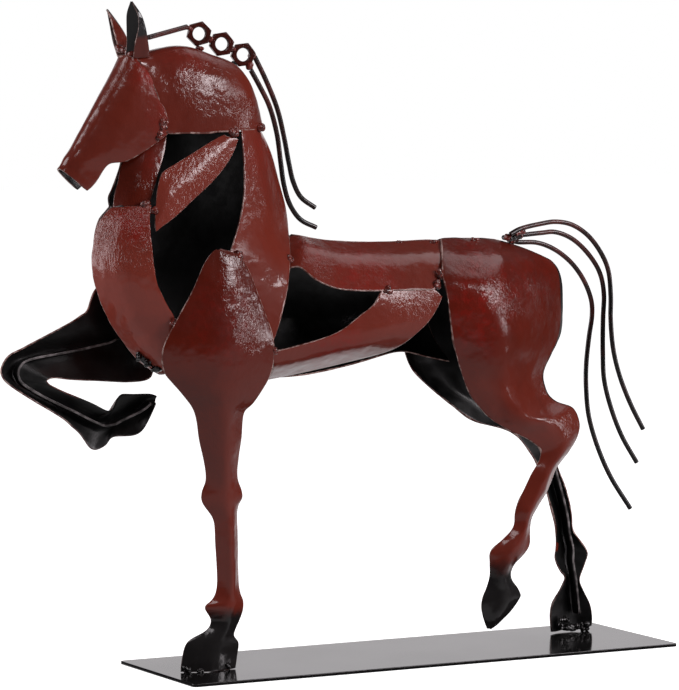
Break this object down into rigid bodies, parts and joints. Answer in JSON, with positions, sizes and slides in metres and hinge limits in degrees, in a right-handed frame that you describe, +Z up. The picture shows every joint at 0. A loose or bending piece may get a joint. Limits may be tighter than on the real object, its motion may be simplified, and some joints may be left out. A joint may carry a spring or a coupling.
{
  "type": "metal horse sculpture",
  "caption": "Trotting horse welded from thin hammered steel sheets with open gaps, bent rod mane and tail, hexagon nuts on the crest, on a flat rectangular base plate.",
  "frame": {"origin": "middle of the base plate's underside, which is the face the sculpture stands on", "axes": "+Z up; +X from the horse's head towards its tail, the longest direction; -Y towards the horse's near (left) side, the side in the picture; y = 0 is the horse's middle plane"},
  "size_m": [0.4226, 0.1, 0.3933],
  "materials": {
    "red_brown_paint": "glossy red-brown paint over hammered steel sheet, black on the inner side",
    "red_brown_paint_nut": "glossy red-brown paint on hexagon nuts",
    "red_brown_paint_rod": "red-brown paint on round steel rod, fading to black at the ends",
    "black_gloss_paint": "smooth glossy black paint",
    "black_inside_paint": "black paint",
    "weld_bead": "lumpy weld bead under glossy paint"
  },
  "bodies": {
    "root": {"base_plate": "black_gloss_paint", "face": "red_brown_paint", "crest": "red_brown_paint", "near_ear": "red_brown_paint", "far_ear": "red_brown_paint", "near_throat": "red_brown_paint", "far_throat": "red_brown_paint", "near_neck_band": "red_brown_paint", "near_withers": "red_brown_paint", "near_chest": "red_brown_paint", "far_chest": "red_brown_paint", "near_back": "red_brown_paint", "near_flank": "red_brown_paint", "far_neck": "red_brown_paint", "far_barrel": "red_brown_paint", "girth": "red_brown_paint", "near_foreleg": "red_brown_paint", "far_foreleg": "red_brown_paint", "near_hind_leg": "red_brown_paint", "far_hind_leg": "red_brown_paint", "near_foreleg_rib": "black_inside_paint", "far_foreleg_rib": "black_inside_paint", "near_hind_rib": "black_inside_paint", "far_hind_rib": "black_inside_paint", "mane_nut_front": "red_brown_paint_nut", "mane_nut_middle": "red_brown_paint_nut", "mane_nut_rear": "red_brown_paint_nut", "mane_rod_near": "red_brown_paint_rod", "mane_rod_far": "red_brown_paint_rod", "tail_rod_top": "red_brown_paint_rod", "tail_rod_middle": "red_brown_paint_rod", "tail_rod_low": "red_brown_paint_rod", "forelock_rod": "red_brown_paint_rod", "mane_weld_front": "weld_bead", "mane_weld_rear": "weld_bead", "tail_weld": "weld_bead", "near_fore_weld": "weld_bead", "far_hind_weld": "weld_bead"}
  },
  "joints": []
}
